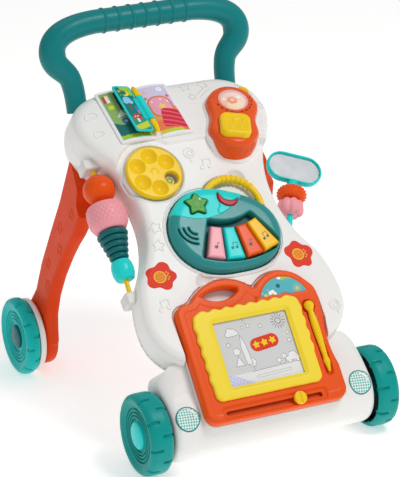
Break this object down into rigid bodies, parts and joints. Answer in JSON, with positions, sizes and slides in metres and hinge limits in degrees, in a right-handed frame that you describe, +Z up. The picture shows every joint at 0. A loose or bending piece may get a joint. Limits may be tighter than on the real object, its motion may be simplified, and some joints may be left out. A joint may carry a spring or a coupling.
{
  "type": "baby walker",
  "caption": "Sit-to-stand push walker: sloping activity deck on four wheels with a push handle, music keys, dial, flip book, toy phone, beads, mirror and a drawing board.",
  "frame": {"origin": "on the floor, below the middle of the walker's bounding box", "axes": "+Z up, -Y towards the nose and the drawing board, +Y towards the child who pushes, +X to the toy's right seen from behind the nose"},
  "size_m": [0.378, 0.4394, 0.471],
  "materials": {
    "white_plastic": "smooth moulded, semi-gloss",
    "orange_plastic": "smooth moulded, glossy",
    "teal_plastic": "smooth moulded, glossy",
    "deep_teal_plastic": "smooth moulded, glossy",
    "aqua_plastic": "smooth moulded, glossy",
    "yellow_plastic": "smooth moulded, glossy",
    "pink_plastic": "smooth moulded, glossy",
    "green_plastic": "smooth moulded, glossy",
    "red_plastic": "smooth moulded, glossy",
    "clear_plastic": "clear, polished",
    "picture_card": "printed card",
    "screen_grey": "satin drawing film",
    "mirror_film": "safety mirror film",
    "steel": "zinc plated",
    "circuit_green": "solder mask",
    "speaker_black": "black frame",
    "battery_case": "printed sleeve"
  },
  "bodies": {
    "walker": {"front_shell": "white_plastic", "back_shell": "white_plastic", "bumper": "white_plastic", "handle": "deep_teal_plastic", "leg_left": "orange_plastic", "leg_right": "orange_plastic", "screws": "steel", "axles": "steel", "book_base": "white_plastic", "book_spine": "yellow_plastic", "phone_base": "white_plastic", "phone_body": "orange_plastic", "phone_lens": "clear_plastic", "phone_antenna": "yellow_plastic", "dial_pin": "white_plastic", "dial_picture": "picture_card", "bead_rod": "yellow_plastic", "mirror_post": "aqua_plastic"},
    "front_left": {"front_wheel_left": "teal_plastic", "front_cap_left": "aqua_plastic"},
    "front_right": {"front_wheel_right": "teal_plastic", "front_cap_right": "aqua_plastic"},
    "rear_left": {"rear_wheel_left": "aqua_plastic", "rear_cap_left": "deep_teal_plastic", "rear_disc_left": "white_plastic"},
    "rear_right": {"rear_wheel_right": "aqua_plastic", "rear_cap_right": "deep_teal_plastic", "rear_disc_right": "white_plastic"},
    "dial": {"dial": "yellow_plastic"},
    "page": {"book_page": "aqua_plastic"},
    "phone_key": {"phone_button": "yellow_plastic"},
    "panel": {"panel_housing": "deep_teal_plastic", "panel_back": "white_plastic", "panel_inset": "aqua_plastic", "ring_handle": "yellow_plastic", "circuit_board": "circuit_green", "speaker": "speaker_black", "batteries": "battery_case", "battery_door": "white_plastic"},
    "star": {"star_button": "green_plastic"},
    "crescent": {"crescent_button": "red_plastic"},
    "key_1": {"key_pink": "pink_plastic"},
    "key_2": {"key_cyan": "aqua_plastic"},
    "key_3": {"key_orange": "orange_plastic"},
    "key_4": {"key_yellow": "yellow_plastic"},
    "board": {"board_case": "orange_plastic", "board_back": "white_plastic", "board_bezel": "yellow_plastic", "board_screen": "screen_grey"},
    "stylus": {"pen": "yellow_plastic"},
    "eraser": {"slider": "yellow_plastic"},
    "ball": {"bead_ball": "orange_plastic"},
    "barrel": {"bead_barrel": "pink_plastic"},
    "cone": {"bead_cone": "deep_teal_plastic"},
    "drum": {"bead_drum": "aqua_plastic"},
    "mirror": {"mirror_frame": "aqua_plastic", "mirror_glass": "mirror_film"},
    "spiky": {"spiky_ring": "orange_plastic"},
    "petals": {"pink_ring": "pink_plastic"}
  },
  "joints": [
    {"name": "front_left_spin", "type": "hinge", "parent": "walker", "child": "front_left", "pos_m": [-0.152, -0.1573, 0.05], "axis": [1, 0, 0], "continuous": true},
    {"name": "rear_left_spin", "type": "hinge", "parent": "walker", "child": "rear_left", "pos_m": [-0.18, 0.1697, 0.05], "axis": [1, 0, 0], "continuous": true},
    {"name": "front_right_spin", "type": "hinge", "parent": "walker", "child": "front_right", "pos_m": [0.152, -0.1573, 0.05], "axis": [1, 0, 0], "continuous": true},
    {"name": "rear_right_spin", "type": "hinge", "parent": "walker", "child": "rear_right", "pos_m": [0.18, 0.1697, 0.05], "axis": [1, 0, 0], "continuous": true},
    {"name": "dial_spin", "type": "hinge", "parent": "walker", "child": "dial", "pos_m": [-0.058, 0.02139, 0.30219], "axis": [0, -0.6691, 0.7431], "continuous": true},
    {"name": "page_turn", "type": "hinge", "parent": "walker", "child": "page", "pos_m": [-0.036, 0.09197, 0.36127], "axis": [0, 0.9157, 0.4019], "range_deg": [0, 156]},
    {"name": "phone_press", "type": "slide", "parent": "walker", "child": "phone_key", "axis": [0, 0.4019, -0.9157], "range_m": [0, 0.003], "stiffness_N_per_m": 300, "springref_m": -0.002},
    {"name": "panel_lift", "type": "slide", "parent": "walker", "child": "panel", "axis": [0, -0.6691, 0.7431], "range_m": [0, 0.08]},
    {"name": "star_press", "type": "slide", "parent": "panel", "child": "star", "axis": [0, 0.6691, -0.7431], "range_m": [0, 0.002], "stiffness_N_per_m": 300, "springref_m": -0.002},
    {"name": "crescent_press", "type": "slide", "parent": "panel", "child": "crescent", "axis": [0, 0.6691, -0.7431], "range_m": [0, 0.002], "stiffness_N_per_m": 300, "springref_m": -0.002},
    {"name": "key_1_press", "type": "slide", "parent": "panel", "child": "key_1", "axis": [0, 0.6691, -0.7431], "range_m": [0, 0.002], "stiffness_N_per_m": 300, "springref_m": -0.002},
    {"name": "key_2_press", "type": "slide", "parent": "panel", "child": "key_2", "axis": [0, 0.6691, -0.7431], "range_m": [0, 0.002], "stiffness_N_per_m": 300, "springref_m": -0.002},
    {"name": "key_3_press", "type": "slide", "parent": "panel", "child": "key_3", "axis": [0, 0.6691, -0.7431], "range_m": [0, 0.002], "stiffness_N_per_m": 300, "springref_m": -0.002},
    {"name": "key_4_press", "type": "slide", "parent": "panel", "child": "key_4", "axis": [0, 0.6691, -0.7431], "range_m": [0, 0.002], "stiffness_N_per_m": 300, "springref_m": -0.002},
    {"name": "board_lift", "type": "slide", "parent": "walker", "child": "board", "axis": [0, -0.7524, 0.6587], "range_m": [0, 0.08]},
    {"name": "pen_lift", "type": "slide", "parent": "board", "child": "stylus", "axis": [0, -0.7524, 0.6587], "range_m": [0, 0.05]},
    {"name": "slider_wipe", "type": "slide", "parent": "board", "child": "eraser", "axis": [1, 0, 0], "range_m": [-0.09, 0.028]},
    {"name": "ball_spin", "type": "hinge", "parent": "walker", "child": "ball", "pos_m": [-0.1204, 0.04443, 0.28265], "axis": [0.0426, 0.7231, 0.6894], "continuous": true},
    {"name": "barrel_spin", "type": "hinge", "parent": "walker", "child": "barrel", "pos_m": [-0.12204, 0.01659, 0.25611], "axis": [0.0426, 0.7231, 0.6894], "continuous": true},
    {"name": "cone_spin", "type": "hinge", "parent": "walker", "child": "cone", "pos_m": [-0.12368, -0.01126, 0.22957], "axis": [0.0426, 0.7231, 0.6894], "continuous": true},
    {"name": "drum_spin", "type": "hinge", "parent": "walker", "child": "drum", "pos_m": [-0.12504, -0.0344, 0.20751], "axis": [0.0426, 0.7231, 0.6894], "continuous": true},
    {"name": "mirror_turn", "type": "hinge", "parent": "walker", "child": "mirror", "pos_m": [0.14146, 0.03149, 0.27226], "axis": [0.4226, 0.6735, 0.6064], "continuous": true},
    {"name": "spiky_turn", "type": "hinge", "parent": "walker", "child": "spiky", "pos_m": [0.1254, 0.0059, 0.24921], "axis": [0.4226, 0.6735, 0.6064], "continuous": true},
    {"name": "petals_turn", "type": "hinge", "parent": "walker", "child": "petals", "pos_m": [0.11547, -0.00993, 0.23496], "axis": [0.4226, 0.6735, 0.6064], "continuous": true}
  ]
}
